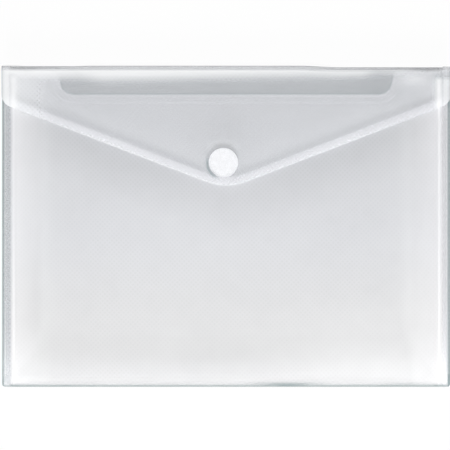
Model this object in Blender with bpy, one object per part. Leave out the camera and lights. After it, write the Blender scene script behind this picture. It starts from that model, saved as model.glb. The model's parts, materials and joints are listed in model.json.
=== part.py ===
"""A translucent document wallet of frosted polypropylene, lying on its back.

X runs across the wallet, Y up towards the flap's fold, and Z out of the front panel.
The origin is at the middle of the back panel's underside. All lengths are in metres.
"""

import math

import bmesh
import bpy
from mathutils import Matrix, Vector

# Wallet
WIDTH = 0.335
HEIGHT = 0.240
POCKET_DEPTH = 0.020

# Sheet, and how closely pieces lie
SHEET = 0.0005
CLEARANCE = 0.0003
CREASE_GAP = 0.00045
CORNER_RADIUS = 0.002

# Gusset strips, each creased into lip, leaf, leaf and lip
LIP_WIDTH = 0.008
LEAF_WIDTH = 0.020
LEAF_TIP_GAP = 0.001
MITRE_GAP = 0.0004
GUSSET_TOP_INSET = 0.001

# Front panel and its thumb notch
FRONT_TOP_INSET = 0.004
NOTCH_DEPTH = 0.0165
NOTCH_FLOOR_WIDTH = 0.241
NOTCH_MOUTH_WIDTH = 0.252
NOTCH_FLOOR_RADIUS = 0.009
NOTCH_MOUTH_RADIUS = 0.004

# Flap, from the fold down to its rounded tip
FLAP_LENGTH = 0.0896
FLAP_SLOPE = math.radians(21.0)
SHOULDER_RADIUS = 0.010
TIP_RADIUS = 0.042

# Front panel's swell below the flap, how far it climbs from what holds it down, and its dip in the middle
SWELL = 0.0042
SWELL_FROM_FLAP = 0.040
SWELL_FROM_BOTTOM = 0.130
SWELL_FROM_SIDE = 0.060
SWELL_INSET = 0.002
SWELL_DIP = 0.0019
SWELL_DIP_WIDTH = 0.055

# Edge bands welded under the flap's edge and behind the notch's edge
BAND_WIDTH = 0.006
BAND_THICKNESS = 0.0003

# Touch-and-close fastener
COIN_DIAMETER = 0.022
COIN_SHIFT = -0.0016
COIN_TO_BAND = 0.0002
COIN_RIM = 0.0002
LOOP_THICKNESS = 0.0012
HOOK_THICKNESS = 0.0010
ADHESIVE_DIAMETER = 0.021
ADHESIVE_THICKNESS = 0.0002

# Smoothness of round and swelling shapes, and the share of a wall that a fillet may take
ARC_STEP = math.radians(9)
SHARP_ANGLE = math.radians(40)
RIM_ANGLE = math.radians(60)
SWELL_STEP = 0.016
MERGE = 0.0001
COIN_SIDES = 48
SHARED_WALL = 0.48
WHOLE_WALL = 0.96

# Colours and roughness
FROSTED = (0.82, 0.84, 0.86)
WELDED = (0.92, 0.93, 0.94)
COIN_WHITE = (0.93, 0.94, 0.95)
ADHESIVE_CLEAR = (0.88, 0.88, 0.86)
PLASTIC_ROUGHNESS = 0.42
COIN_ROUGHNESS = 0.95
ADHESIVE_ROUGHNESS = 0.30

# Heights above the back panel's underside
SPINE_CREASE_Z = SHEET / 2
REAR_CREASE_Z = SHEET + CLEARANCE + SHEET / 2
FRONT_Z = SHEET + POCKET_DEPTH
FRONT_CREASE_Z = FRONT_Z - CLEARANCE - SHEET / 2
LOOP_ADHESIVE_Z = FRONT_Z + SHEET + CLEARANCE
LOOP_Z = LOOP_ADHESIVE_Z + ADHESIVE_THICKNESS + CLEARANCE
HOOK_Z = LOOP_Z + LOOP_THICKNESS + CLEARANCE
HOOK_ADHESIVE_Z = HOOK_Z + HOOK_THICKNESS + CLEARANCE
FLAP_Z = HOOK_ADHESIVE_Z + ADHESIVE_THICKNESS + CLEARANCE
FLAP_CREASE_Z = FLAP_Z + SHEET / 2

# Places across and up the wallet
EDGE_X = WIDTH / 2
SIDE_CREASE_X = EDGE_X - LIP_WIDTH
BOTTOM_Y = -HEIGHT / 2
BOTTOM_CREASE_Y = BOTTOM_Y + LIP_WIDTH
FOLD_Y = HEIGHT / 2 - SHEET / 2
FRONT_TOP_Y = HEIGHT / 2 - FRONT_TOP_INSET
GUSSET_TOP_Y = FRONT_TOP_Y - GUSSET_TOP_INSET
NOTCH_FLOOR_Y = FRONT_TOP_Y - NOTCH_DEPTH
NOTCH_LEAN = math.atan2((NOTCH_MOUTH_WIDTH - NOTCH_FLOOR_WIDTH) / 2, NOTCH_DEPTH)
TIP_Y = HEIGHT / 2 - FLAP_LENGTH
APEX_Y = TIP_Y - TIP_RADIUS * (1 / math.cos(FLAP_SLOPE) - 1)
COIN_Y = TIP_Y + BAND_WIDTH + COIN_TO_BAND + COIN_DIAMETER / 2

# How far each gusset leaf leans out of its panel's plane
LEAF_RISE = (FRONT_CREASE_Z - REAR_CREASE_Z - LEAF_TIP_GAP) / 2
LEAF_LEAN = math.asin(LEAF_RISE / LEAF_WIDTH)


def clear_scene():
    for item in list(bpy.data.objects):
        bpy.data.objects.remove(item)


def finish(name, colour, roughness):
    """A new material for one piece."""
    material = bpy.data.materials.new(name)
    material.use_nodes = True
    shader = material.node_tree.nodes["Principled BSDF"]
    shader.inputs["Base Color"].default_value = (*colour, 1.0)
    shader.inputs["Roughness"].default_value = roughness
    shader.inputs["Metallic"].default_value = 0.0
    return material


def pivot(name, location, parent=None, turn=0.0, lean=0.0):
    """An empty on a crease: turned about Z, then leaned about its own X, which is the crease."""
    empty = bpy.data.objects.new(name, None)
    empty.location = location
    empty.rotation_euler = (lean, 0.0, turn)
    empty.parent = parent
    bpy.context.collection.objects.link(empty)
    return empty


def wall_room(wall, neighbour):
    """How much of a wall one fillet may take: less where its other end is rounded too."""
    return wall.length * (SHARED_WALL if neighbour[2] > 0 else WHOLE_WALL)


def fillet(before, corner, after):
    """Points of the arc that rounds one corner, limited by the corner's two walls."""
    x, y, radius = corner
    back = Vector(before[:2]) - Vector((x, y))
    ahead = Vector(after[:2]) - Vector((x, y))
    half = back.angle(ahead) / 2
    tangent = min(radius / math.tan(half), wall_room(back, before), wall_room(ahead, after))
    to_centre = (back.normalized() + ahead.normalized()).normalized() * tangent / math.cos(half)
    first = back.normalized() * tangent - to_centre
    last = ahead.normalized() * tangent - to_centre
    sweep = -first.angle_signed(last)
    steps = max(2, math.ceil(abs(sweep) / ARC_STEP))
    centre = Vector((x, y)) + to_centre
    turns = [Matrix.Rotation(sweep * step / steps, 2) for step in range(steps + 1)]
    return [tuple(centre + turn @ first) for turn in turns]


def rounded(corners):
    """Turns (x, y, radius) corners into points. A corner of radius 0 stays sharp."""
    points = []
    for index, corner in enumerate(corners):
        if corner[2] > 0:
            points += fillet(corners[index - 1], corner, corners[(index + 1) % len(corners)])
        else:
            points.append(corner[:2])
    return points


def place(name, shape, location, material, parent):
    """Makes a named object of a finished bmesh."""
    mesh = bpy.data.meshes.new(name)
    shape.to_mesh(mesh)
    shape.free()
    mesh.materials.append(material)
    piece = bpy.data.objects.new(name, mesh)
    piece.location = location
    piece.parent = parent
    bpy.context.collection.objects.link(piece)
    return piece


def thickened(outline, thickness):
    """A closed flat sheet on an outline in the XY plane, thickened upwards."""
    shape = bmesh.new()
    face = shape.faces.new([shape.verts.new((x, y, 0.0)) for x, y in outline])
    raised = bmesh.ops.extrude_face_region(shape, geom=[face])["geom"]
    moved = [item for item in raised if isinstance(item, bmesh.types.BMVert)]
    bmesh.ops.translate(shape, verts=moved, vec=(0.0, 0.0, thickness))
    bmesh.ops.recalc_face_normals(shape, faces=shape.faces)
    return shape


def plate(name, outline, base, thickness, colour, parent):
    """A flat piece of sheet: an outline in its parent's XY plane, thickened upwards from base."""
    shape = thickened(outline, thickness)
    return place(name, shape, (0.0, 0.0, base), finish(name, colour, PLASTIC_ROUGHNESS), parent)


def shade(piece):
    """Shades a piece smooth, apart from its sharp edges."""
    piece.data.shade_smooth()
    piece.data.set_sharp_from_angle(angle=SHARP_ANGLE)


def disc(name, diameter, thickness, centre, material, parent):
    """A round piece of the fastener, shaded smooth round its side."""
    shape = bmesh.new()
    radius = diameter / 2
    bmesh.ops.create_cone(
        shape, cap_ends=True, segments=COIN_SIDES, radius1=radius, radius2=radius, depth=thickness
    )
    piece = place(name, shape, centre, material, parent)
    shade(piece)
    return piece


def back_panel(wallet):
    top = FOLD_Y - CREASE_GAP
    corners = [
        (-EDGE_X, BOTTOM_Y, CORNER_RADIUS),
        (EDGE_X, BOTTOM_Y, CORNER_RADIUS),
        (EDGE_X, top, 0.0),
        (-EDGE_X, top, 0.0),
    ]
    plate("back_panel", rounded(corners), 0.0, SHEET, FROSTED, wallet)


def notch_edge(mouth_radius, drop=0.0, outset=0.0):
    """Corners of the notch's edge, left to right, from drop below the panel's top edge."""
    mouth = NOTCH_MOUTH_WIDTH / 2 + outset / math.cos(NOTCH_LEAN)
    floor_y = NOTCH_FLOOR_Y - outset
    start = mouth - drop * math.tan(NOTCH_LEAN)
    floor = mouth - (FRONT_TOP_Y - floor_y) * math.tan(NOTCH_LEAN)
    radius = NOTCH_FLOOR_RADIUS + outset
    return [
        (-start, FRONT_TOP_Y - drop, mouth_radius),
        (-floor, floor_y, radius),
        (floor, floor_y, radius),
        (start, FRONT_TOP_Y - drop, mouth_radius),
    ]


def climb(distance, reach):
    """0 where the sheet is held down, and 1 from the given reach on. It is steepest at the start."""
    share = min(max(distance / reach, 0.0), 1.0)
    return share * (2 - share)


def swell(x, y):
    """How far the front panel stands out at a place below the flap's edge."""
    flap_edge_y = TIP_Y - SWELL_INSET + abs(x) * math.tan(FLAP_SLOPE)
    dip = SWELL_DIP * math.exp(-((x / SWELL_DIP_WIDTH) ** 2))
    shares = [
        climb(SIDE_CREASE_X - abs(x), SWELL_FROM_SIDE),
        climb(y - BOTTOM_CREASE_Y, SWELL_FROM_BOTTOM),
        climb(flap_edge_y - y, SWELL_FROM_FLAP),
    ]
    return (SWELL - dip) * math.prod(shares)


def cut(shape, point, across, faces):
    """Cuts some faces of a sheet along an upright plane."""
    edges = {edge for face in faces for edge in face.edges}
    corners = {corner for face in faces for corner in face.verts}
    bmesh.ops.bisect_plane(
        shape, geom=[*faces, *edges, *corners], dist=MERGE, plane_co=(*point, 0.0), plane_no=(*across, 0.0)
    )


def cut_lines(low, high):
    """Evenly spaced places between two ends, the ends included."""
    count = math.ceil((high - low) / SWELL_STEP)
    return [low + (high - low) * index / count for index in range(count + 1)]


def swollen(shape):
    """Cuts a flat sheet into a net, also along the flap's edge, and raises its points by the swell."""
    for x in cut_lines(0.0, SIDE_CREASE_X):
        cut(shape, (x, 0.0), (1.0, 0.0), list(shape.faces))
        cut(shape, (-x, 0.0), (1.0, 0.0), list(shape.faces))
    for y in cut_lines(BOTTOM_CREASE_Y, TIP_Y + SIDE_CREASE_X * math.tan(FLAP_SLOPE)):
        cut(shape, (0.0, y), (0.0, 1.0), list(shape.faces))
    for side in (-1.0, 1.0):
        faces = [face for face in shape.faces if face.calc_center_median().x * side > 0]
        across = (-side * math.sin(FLAP_SLOPE), math.cos(FLAP_SLOPE))
        cut(shape, (0.0, TIP_Y - SWELL_INSET), across, faces)
    for corner in shape.verts:
        corner.co.z += swell(corner.co.x, corner.co.y)


def front_panel(front):
    corners = [
        (EDGE_X, FRONT_TOP_Y, CORNER_RADIUS),
        (EDGE_X, BOTTOM_Y, CORNER_RADIUS),
        (-EDGE_X, BOTTOM_Y, CORNER_RADIUS),
        (-EDGE_X, FRONT_TOP_Y, CORNER_RADIUS),
    ]
    shape = thickened(rounded(corners + notch_edge(NOTCH_MOUTH_RADIUS)), SHEET)
    swollen(shape)
    material = finish("front_panel", FROSTED, PLASTIC_ROUGHNESS)
    shade(place("front_panel", shape, (0.0, 0.0, 0.0), material, front))


def notch_edge_band(front):
    """The band behind the notch's edge. It ends below the notch's rounded mouth."""
    inner = rounded(notch_edge(0.0, NOTCH_MOUTH_RADIUS))
    outer = rounded(notch_edge(0.0, NOTCH_MOUTH_RADIUS, BAND_WIDTH))
    base = -CLEARANCE - BAND_THICKNESS
    plate("notch_edge_band", inner + outer[::-1], base, BAND_THICKNESS, WELDED, front)


def lip(name, span, parent):
    """The flat welded edge of a gusset strip, outside its crease."""
    low, high = span
    corners = [
        (low, -CREASE_GAP, 0.0),
        (high, -CREASE_GAP, 0.0),
        (high, -LIP_WIDTH, CORNER_RADIUS),
        (low, -LIP_WIDTH, CORNER_RADIUS),
    ]
    plate(name, rounded(corners), -SHEET / 2, SHEET, WELDED, parent)


def leaf(name, span, mitres, parent):
    """Half of a gusset's pleat, from its crease to the fold in the middle. Some ends are mitred."""
    low, high = span
    mitre_low, mitre_high = mitres
    run = LEAF_WIDTH - CREASE_GAP
    outline = [
        (low, CREASE_GAP),
        (high, CREASE_GAP),
        (high - run * mitre_high, LEAF_WIDTH),
        (low + run * mitre_low, LEAF_WIDTH),
    ]
    plate(name, outline, -SHEET / 2, SHEET, FROSTED, parent)


def gusset(side, crease, turn, lip_span, leaf_span, mitres, wallet, front):
    """The four parts of one strip: its rear half is on the back panel and its front half on the front."""
    halves = [
        ("rear", REAR_CREASE_Z, LEAF_LEAN, wallet),
        ("front", FRONT_CREASE_Z - FRONT_Z, -LEAF_LEAN, front),
    ]
    for half, height, lean, parent in halves:
        seam = pivot(f"{side}_{half}_seam", (*crease, height), parent, turn)
        fold = pivot(f"{side}_{half}_crease", (*crease, height), parent, turn, lean)
        lip(f"{side}_gusset_{half}_lip", lip_span, seam)
        leaf(f"{side}_gusset_{half}_leaf", leaf_span, mitres, fold)


def gussets(wallet, front):
    """Each crease runs along its pivots' X, with the pocket on their +Y side."""
    quarter = math.pi / 2
    foot = BOTTOM_CREASE_Y + MITRE_GAP + CREASE_GAP
    half = SIDE_CREASE_X - MITRE_GAP - CREASE_GAP
    right_lip = (BOTTOM_Y, GUSSET_TOP_Y)
    right_leaf = (foot, GUSSET_TOP_Y)
    left_lip = (-GUSSET_TOP_Y, -BOTTOM_Y)
    left_leaf = (-GUSSET_TOP_Y, -foot)
    bottom_lip = (-SIDE_CREASE_X, SIDE_CREASE_X)
    bottom_leaf = (-half, half)
    gusset("right", (SIDE_CREASE_X, 0.0), quarter, right_lip, right_leaf, (1, 0), wallet, front)
    gusset("left", (-SIDE_CREASE_X, 0.0), -quarter, left_lip, left_leaf, (0, 1), wallet, front)
    gusset("bottom", (0.0, BOTTOM_CREASE_Y), 0.0, bottom_lip, bottom_leaf, (1, 1), wallet, front)


def top_spine(spine):
    """The strip that stands at the top, between the back panel's crease and the flap's."""
    low = CREASE_GAP
    high = FLAP_CREASE_Z - SPINE_CREASE_Z - CREASE_GAP
    outline = [(-EDGE_X, low), (EDGE_X, low), (EDGE_X, high), (-EDGE_X, high)]
    piece = plate("top_spine", outline, 0.0, SHEET, FROSTED, spine)
    piece.rotation_euler = (math.pi / 2, 0.0, 0.0)
    piece.location = (0.0, SHEET / 2, 0.0)


def flap_edge(inset=0.0):
    """Corners of the flap's free edge, left to right, measured from its crease."""
    half = EDGE_X - inset
    apex = APEX_Y - FOLD_Y + inset / math.cos(FLAP_SLOPE)
    shoulder = apex + half * math.tan(FLAP_SLOPE)
    return [
        (-half, -CREASE_GAP, 0.0),
        (-half, shoulder, SHOULDER_RADIUS - inset),
        (0.0, apex, TIP_RADIUS - inset),
        (half, shoulder, SHOULDER_RADIUS - inset),
        (half, -CREASE_GAP, 0.0),
    ]


def flap_panel(flap):
    plate("flap_panel", rounded(flap_edge()), -SHEET / 2, SHEET, FROSTED, flap)


def flap_edge_band(flap):
    """The band under the flap's free edge."""
    outer = rounded(flap_edge())
    inner = rounded(flap_edge(BAND_WIDTH))
    base = -SHEET / 2 - CLEARANCE - BAND_THICKNESS
    plate("flap_edge_band", outer + inner[::-1], base, BAND_THICKNESS, WELDED, flap)


def coin(name, thickness, centre, parent):
    """One half of the fastener, with a softened rim."""
    piece = disc(name, COIN_DIAMETER, thickness, centre, finish(name, COIN_WHITE, COIN_ROUGHNESS), parent)
    bevel = piece.modifiers.new("rim", "BEVEL")
    bevel.width = COIN_RIM
    bevel.segments = 2
    bevel.limit_method = "ANGLE"
    bevel.angle_limit = RIM_ANGLE


def adhesive(name, centre, parent):
    material = finish(name, ADHESIVE_CLEAR, ADHESIVE_ROUGHNESS)
    disc(name, ADHESIVE_DIAMETER, ADHESIVE_THICKNESS, centre, material, parent)


def fastener(front, flap):
    """The loop coin on the front panel and the hook coin under the flap, each on its adhesive."""
    loop_adhesive_z = LOOP_ADHESIVE_Z + ADHESIVE_THICKNESS / 2 - FRONT_Z
    loop_z = LOOP_Z + LOOP_THICKNESS / 2 - FRONT_Z
    hook_z = HOOK_Z + HOOK_THICKNESS / 2 - FLAP_CREASE_Z
    hook_adhesive_z = HOOK_ADHESIVE_Z + ADHESIVE_THICKNESS / 2 - FLAP_CREASE_Z
    adhesive("loop_adhesive_disc", (COIN_SHIFT, COIN_Y, loop_adhesive_z), front)
    coin("loop_coin", LOOP_THICKNESS, (COIN_SHIFT, COIN_Y, loop_z), front)
    coin("hook_coin", HOOK_THICKNESS, (COIN_SHIFT, COIN_Y - FOLD_Y, hook_z), flap)
    adhesive("hook_adhesive_disc", (COIN_SHIFT, COIN_Y - FOLD_Y, hook_adhesive_z), flap)


def main():
    clear_scene()
    wallet = pivot("wallet", (0.0, 0.0, 0.0))
    front = pivot("front_slide", (0.0, 0.0, FRONT_Z), wallet)
    spine = pivot("spine_crease", (0.0, FOLD_Y, SPINE_CREASE_Z), wallet)
    flap = pivot("flap_crease", (0.0, 0.0, FLAP_CREASE_Z - SPINE_CREASE_Z), spine)
    back_panel(wallet)
    front_panel(front)
    notch_edge_band(front)
    gussets(wallet, front)
    top_spine(spine)
    flap_panel(flap)
    flap_edge_band(flap)
    fastener(front, flap)


main()
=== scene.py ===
"""Looks of the translucent document wallet, which lies on a white studio table."""

import json
import math

import bmesh
import bpy
import numpy as np
from mathutils import Matrix, Vector, geometry


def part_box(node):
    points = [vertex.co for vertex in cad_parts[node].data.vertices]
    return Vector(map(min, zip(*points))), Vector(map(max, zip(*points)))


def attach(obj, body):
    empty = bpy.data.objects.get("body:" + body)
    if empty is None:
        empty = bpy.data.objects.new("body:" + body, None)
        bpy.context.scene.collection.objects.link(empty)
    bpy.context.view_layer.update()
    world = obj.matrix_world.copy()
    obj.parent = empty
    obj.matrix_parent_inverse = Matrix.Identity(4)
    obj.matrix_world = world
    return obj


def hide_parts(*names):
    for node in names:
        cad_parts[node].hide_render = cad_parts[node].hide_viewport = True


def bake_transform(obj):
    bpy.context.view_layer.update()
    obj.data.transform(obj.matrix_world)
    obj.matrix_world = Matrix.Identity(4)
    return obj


MM = 0.001


def in_mm(*lengths):
    """Lengths in metres, from millimetres."""
    return tuple(length * MM for length in lengths)


# A ramp is a (low, high) pair, and a pair of strengths or insets is (left, right).
# A ridge is (strength, place, half-width).
# A spot is (strength, x, y, half-width, half-height).
# An arc round the coin is (strength, heading in degrees, radius, half-width, spread in degrees),
# and it starts to fade at a share of the spread.
ARC_CORE = 0.4

# Sheet and its net
SHEET = 0.5 * MM
SEAT = 0.03 * MM
GRID = 3.0 * MM
EDGE_SHARE = 0.2
RING_SHARE = 0.5
FINE_SHARE = 0.15
SLOPE_STEP = 0.2 * MM
UP = np.array((0.0, 0.0, 1.0))
SHEET_SHARP = math.radians(50)
SHAPE_SHARP = math.radians(45)

# Spine and flap: their folds, the seam between them, and how far the spine leans in at the upper fold
FLAP_RADIUS = 2.2 * MM
SPINE_RADIUS = 1.5 * MM
FOLD_STEPS = 10
SPINE_ROWS = 9
SPINE_START = 2 * MM
SEAM_DROP = 1.0 * MM
LEAN_RIGHT = 1.2 * MM
LEAN_RIGHT_FROM = in_mm(55, 85)
LEAN_LEFT = 0.3 * MM
LEAN_LEFT_FROM = in_mm(100, 115)
LEAN_LEFT_TO = in_mm(148, 158)
LEAN_UP = in_mm(-25, -3)

# Weld lines, which run just inside the side creases, the margin outside them, and dark cut edges
WELD_HALF = 1.5 * MM
WELD_DEPTH = 0.12 * MM
WELD_INSET = in_mm(0.8, 0.3)
WELD_LINES = 13
MARGIN_FADE = 2 * MM
RIM = 2.0 * MM

# Front panel's swell below the flap, how far it climbs from what holds it down, its dip and its ripple
SWELL = 4.2 * MM
SWELL_FROM_FLAP = 40 * MM
SWELL_FROM_BOTTOM = 130 * MM
SWELL_FROM_SIDE = 60 * MM
SWELL_INSET = 2 * MM
SWELL_DIP = in_mm(1.9, 0, 55)
FLAP_SLOPE = math.tan(math.radians(21.0))
RIPPLE = 0.18 * MM
RIPPLE_X = (31 * MM, 1.1)
RIPPLE_Y = (43 * MM, 0.4)
RIPPLE_HEM = 25 * MM
RIPPLE_COIN = 18 * MM

# Front panel's thumb notch, and the finer grid lines beside it and above the bottom edge
NOTCH_FLOOR = 99.5 * MM
NOTCH_REACH = 12 * MM
NOTCH_SIDE = in_mm(128, 132)
NOTCH_TOP = in_mm(112, 114)
NOTCH_END_LINES = np.linspace(116 * MM, 130 * MM, 19)
NOTCH_LINES = np.linspace(0.7 * MM, 9.1 * MM, 13)
BOTTOM_LINES = np.linspace(0.7 * MM, 6.3 * MM, 9)

# Front panel's white: welds, stretched creases, pleats' tips, notch's hem, bottom lip, painted light towards
# the lower right, and painted light in soft spots, a highlight and an arc above the coin
FRONT_WELD = (0.5, 0.62)
CREASE_WHITE = (0.30, *in_mm(0, 26))
LIFT_WHITE = (0.16, *in_mm(0, 10))
LIFT_UP = in_mm(-80, 30)
TIP_WHITE = (0.13, *in_mm(17, 9))
TIP_LEFT_UP = in_mm(-60, 20)
TIP_RIGHT_LOSS = 0.4
TIP_RIGHT_UP = in_mm(-20, 40)
HEM_WHITE = (0.16, *in_mm(1.8, 1.0))
HEM_GAIN = 0.875
HEM_ACROSS = in_mm(0, 50)
BAND_WHITE = (0.18, *in_mm(7.0, 0.9))
# Painted light: the front's lower right is whiter, as brighter light falls there
LOWER_RIGHT_LIGHT = 0.25
LOWER_RIGHT_LIGHT_ACROSS = in_mm(-30, 150)
LOWER_RIGHT_LIGHT_UP = in_mm(-118, -40)
LIP_WHITE = (0.12, *in_mm(5.0, 2.0))
LIP_ACROSS = in_mm(10, 50)
# Painted light: a highlight beside the notch's right end, and soft brighter patches on the body and above
# the coin
FRONT_LIGHT_SPOTS = (
    (0.05, *in_mm(-40, -8, 70, 40)),
    (0.08, *in_mm(-30, -86, 70, 12)),
    (0.08, *in_mm(-4, 80, 14, 20)),
    (0.60, *in_mm(138.7, 110, 10, 4)),
)
# Painted light in an arc above the coin, which lightens the coin's cast shadow
FRONT_COIN_LIGHT = (0.7, 90, 12.8 * MM, 3.4 * MM, 62)

# Front panel's dark: cut edges, left margin, painted shadow along the notch's edge and along the bottom
# edge, and painted shade by the coin and below the flap
LEFT_RIM = 3.2 * MM
RIGHT_RIM_START = 1.42
RIGHT_RIM = 2.1 * MM
BOTTOM_RIM = 0.74
BOTTOM_RIM_UP = in_mm(0.6, 2.9)
# Painted shadow along the bottom edge: a broad patch right of the middle and a smaller one near the right
# end
BOTTOM_SHADOW = (0.8, *in_mm(45, 28))
BOTTOM_SHADOW_RIGHT = (0.4, *in_mm(132, 20))
BOTTOM_SHADOW_UP = in_mm(1.6, 4.3)
LEFT_MARGIN_RIM = 0.38
# Painted shadow along the notch's edge: a dark line at the edge and a faint band a little way from it
NOTCH_EDGE_SHADOW = 0.9
NOTCH_EDGE_SHADOW_FADE = in_mm(0.5, 1.25)
NOTCH_SHADOW_BAND = (0.07, *in_mm(4.6, 1.4))
FRONT_SHADE = (0.05, 0, 13.5 * MM, 4.0 * MM, 80)
FRONT_DARK_SPOT = (0.05, *in_mm(-106, 88, 30, 11))
FLAP_SHADE = (0.05, *in_mm(0, 18))
FLAP_SHADE_START = in_mm(-3, 0)
FLAP_SHADE_ACROSS = in_mm(15, 60)

# Front panel's clear margins, and where painted warm light falls on its lower part
FRONT_CLEAR = 0.6
WARM_LIGHT_UP = in_mm(-75, 5)

# Back panel's marks: welds, clear margins, and painted shade and shadows in the mouth of the pocket
BACK_WELD = 0.4
BACK_CLEAR = 0.7
BACK_RIM = 0.05
MOUTH_SHADE = 0.15
MOUTH_SHADE_UP = in_mm(88, 100)
MOUTH_END_SHADOWS = (0.09, *in_mm(114, 12))
LOW_MOUTH_SHADOW = 0.05
LOW_MOUTH_SHADOW_RIGHT = 0.12
LOW_MOUTH_SHADOW_UP = in_mm(101, 114)

# Flap's drooping edge, and its dimple round the fastener
DROOP = 0.5 * MM
DROOP_WIDTH = 7 * MM
DROOP_START = 20 * MM
DIMPLE = 0.22 * MM
DIMPLE_REACH = in_mm(11, 17)
COIN_RINGS = MM * np.array([2, 4, 6, 8, 9.5, 10.4, 10.8, 11.1, 11.5, 12.0, 12.6, 13.4, 14.4])
RING_POINTS = 72

# Flap's white: free edge, a band by the fold, seams by the sides, left corner, a painted highlight by the
# right corner, and painted light above the coin
EDGE_WHITE = (0.3, *in_mm(0, 1.0))
EDGE_TO_FOLD = 5 * MM
EDGE_ACROSS = in_mm(115, 145)
FOLD_WHITE = in_mm(-13.3, -3.0)
FOLD_WHITE_END = in_mm(-3.2, -2.0)
FOLD_END_RIGHT = 1.2 * MM
FOLD_END_ACROSS = in_mm(40, 80)
FOLD_TILT = 0.022
FOLD_TILT_LEFT = in_mm(88, 112)
FOLD_STEP_RIGHT = 2.4 * MM
FOLD_STEP_ACROSS = in_mm(98, 114)
FOLD_LOSS = 0.5
FOLD_LOSS_ACROSS = in_mm(120, 160)
SEAM_WHITE = (0.5, 0.85)
SEAM_INSET = 0.8 * MM
SEAM_WIDTH = 3.0 * MM
SEAM_BELOW_FOLD = in_mm(6, 10)
OUTER_WHITE = (0.5, 0.65)
OUTER_ACROSS = in_mm(160, 163)
CORNER_WHITE = 0.36
CORNER_ACROSS = in_mm(122, 154)
# Painted highlight by the right corner, and painted light above the coin that lightens its shadow
FLAP_HIGHLIGHT = (0.1, *in_mm(138, 109.6, 10, 4.0))
FLAP_COIN_LIGHT = (0.1, 90, 12.4 * MM, 3.2 * MM, 62)

# Flap's dark and clear parts: sides, painted shade along the fold, painted shadow and shade by the coin,
# right corner, and the coin's window
FLAP_SIDE_RIM = 0.5
# Painted shade along the fold
FOLD_SHADE = 0.02
FOLD_SHADE_UP = in_mm(-3.4, -2.2)
# Painted shadow of the coin, a crescent at its lower left
COIN_SHADOW_CRESCENT = (0.75, 205, 12.1 * MM, 1.2 * MM, 58)
FLAP_COIN_SHADE = (0.05, 0, 13.0 * MM, 3.5 * MM, 80)
FLAP_DARK_SPOT = (0.22, *in_mm(157.4, 112.7, 4.5, 2.2))
FOLD_CLEAR = 0.4
WINDOW = in_mm(10.8, 11.1)

# Edge bands and spine: how white they are
FLAP_BAND_WHITE = 0.09
FLAP_BAND_MIDDLE = (0.2, *in_mm(85, 30))
FLAP_BAND_ACROSS = in_mm(115, 145)
FLAP_BAND_FADE = in_mm(3.0, 7)
NOTCH_BAND_WHITE = 0.04
NOTCH_BAND_EDGE = 0.2
NOTCH_BAND_FADE = in_mm(4.5, 6)
NOTCH_BAND_ENDS = 0.25
NOTCH_BAND_ACROSS = in_mm(104, 120)
SPINE_WHITE = 0.45
SPINE_LEFT_WHITE = 0.35
SPINE_LEFT_ACROSS = in_mm(148, 160)

# Pleats
LEAF_WIDTH = 20 * MM
LEAF_ROWS = 9
MITRE_GAP = 0.4 * MM
LIP_FLAT = 4 * MM
CREASE_BEND = 1.2 * MM
CREASE_PULL = 0.2 * MM
CREASE_SHARES = (0.25, 0.5, 0.75)
TIP_GAP = 0.5 * MM
TIP_CURL = 0.6 * MM
TIP_REACH = 0.1 * MM
TIP_SHARES = (0.35, 0.7, 1.0)

# Side pleats' marks, across the crease
SIDE_WHITE = (0.4, *in_mm(0, 1.4))
SIDE_GLOW = (0.2, *in_mm(3, 8))
SIDE_RIM = 0.1
SIDE_CUT = (0.8, *in_mm(0, 5))
SIDE_CUT_DOWN = in_mm(3, 9)
SIDE_CLEAR = 0.8
SIDE_FAINT = 0.4
SIDE_FAINT_LEAF = 0.45
SIDE_FAINT_TIP = 0.3
SIDE_TIP = in_mm(16, 19)

# Bottom pleat's marks, across the crease
BOTTOM_WHITE = 0.03
BOTTOM_EDGE = 0.3
BOTTOM_AT_CREASE = in_mm(-1.0, 1.0)
BOTTOM_CLEAR = 0.7
BOTTOM_CLEAR_LEAF = in_mm(6, 16)
BOTTOM_FAINT = 0.9
BOTTOM_FAINT_LEAF = 0.25

# Fastener
COIN_SHIFT = Vector((0.5 * MM, 0.0, 0.0))
COIN_SEGMENTS = 96
COIN_BEVEL = 0.12 * MM
COIN_INSET = 0.2 * MM
TAPE_SINK = 0.25 * MM
LOOP_BASE = 0.5 * MM
LOOP_BORDER = 0.6 * MM
LOOP_HALF_WIDTH = in_mm(0.35, 0.5)
LOOP_HEIGHT_SHARE = (0.7, 1.0)
LOOP_STEPS = 8
PILE_PITCH = 1.15 * MM
PILE_SEED = 7
HOOK_BASE = 0.4 * MM
HOOK_BORDER = 0.7 * MM
HOOK_PITCH = 1.25 * MM
HOOK_BEND_SHARE = 0.38
HOOK_STEM_SHARE = 0.35
HOOK_LEAN = 0.8
HOOK_STEPS = 5
ROW_SHARE = 0.87
FIBRE = 0.07 * MM
FIBRE_SIDES = 4

# Colours
FROST = (0.868, 0.870, 0.898)
# Painted warm light: the front's lower part takes this warmer tint
WARM_LIT_FROST = (0.852, 0.844, 0.846)
# The back panel's frost is a darker copy of the frost, painted shade for the inside of the pocket
SHADED_BACK_FROST = (0.772, 0.797, 0.818)
BLUE_FROST = (0.845, 0.864, 0.892)
# White of whitened film, also used for painted highlights and painted light
WHITENED_AND_HIGHLIGHT = (0.96, 0.965, 0.97)
# Dark of cut edges, also used for painted shade and shadows
DARK_EDGE_AND_SHADE = (0.16, 0.23, 0.24)
TAPE = (0.90, 0.91, 0.94)
FIBRE_WHITE = (0.96, 0.96, 0.965)
ADHESIVE = (0.95, 0.95, 0.94, 1.0)
TABLE = (0.92, 0.92, 0.92, 1.0)
WHITE = (1.0, 1.0, 1.0, 1.0)

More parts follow.
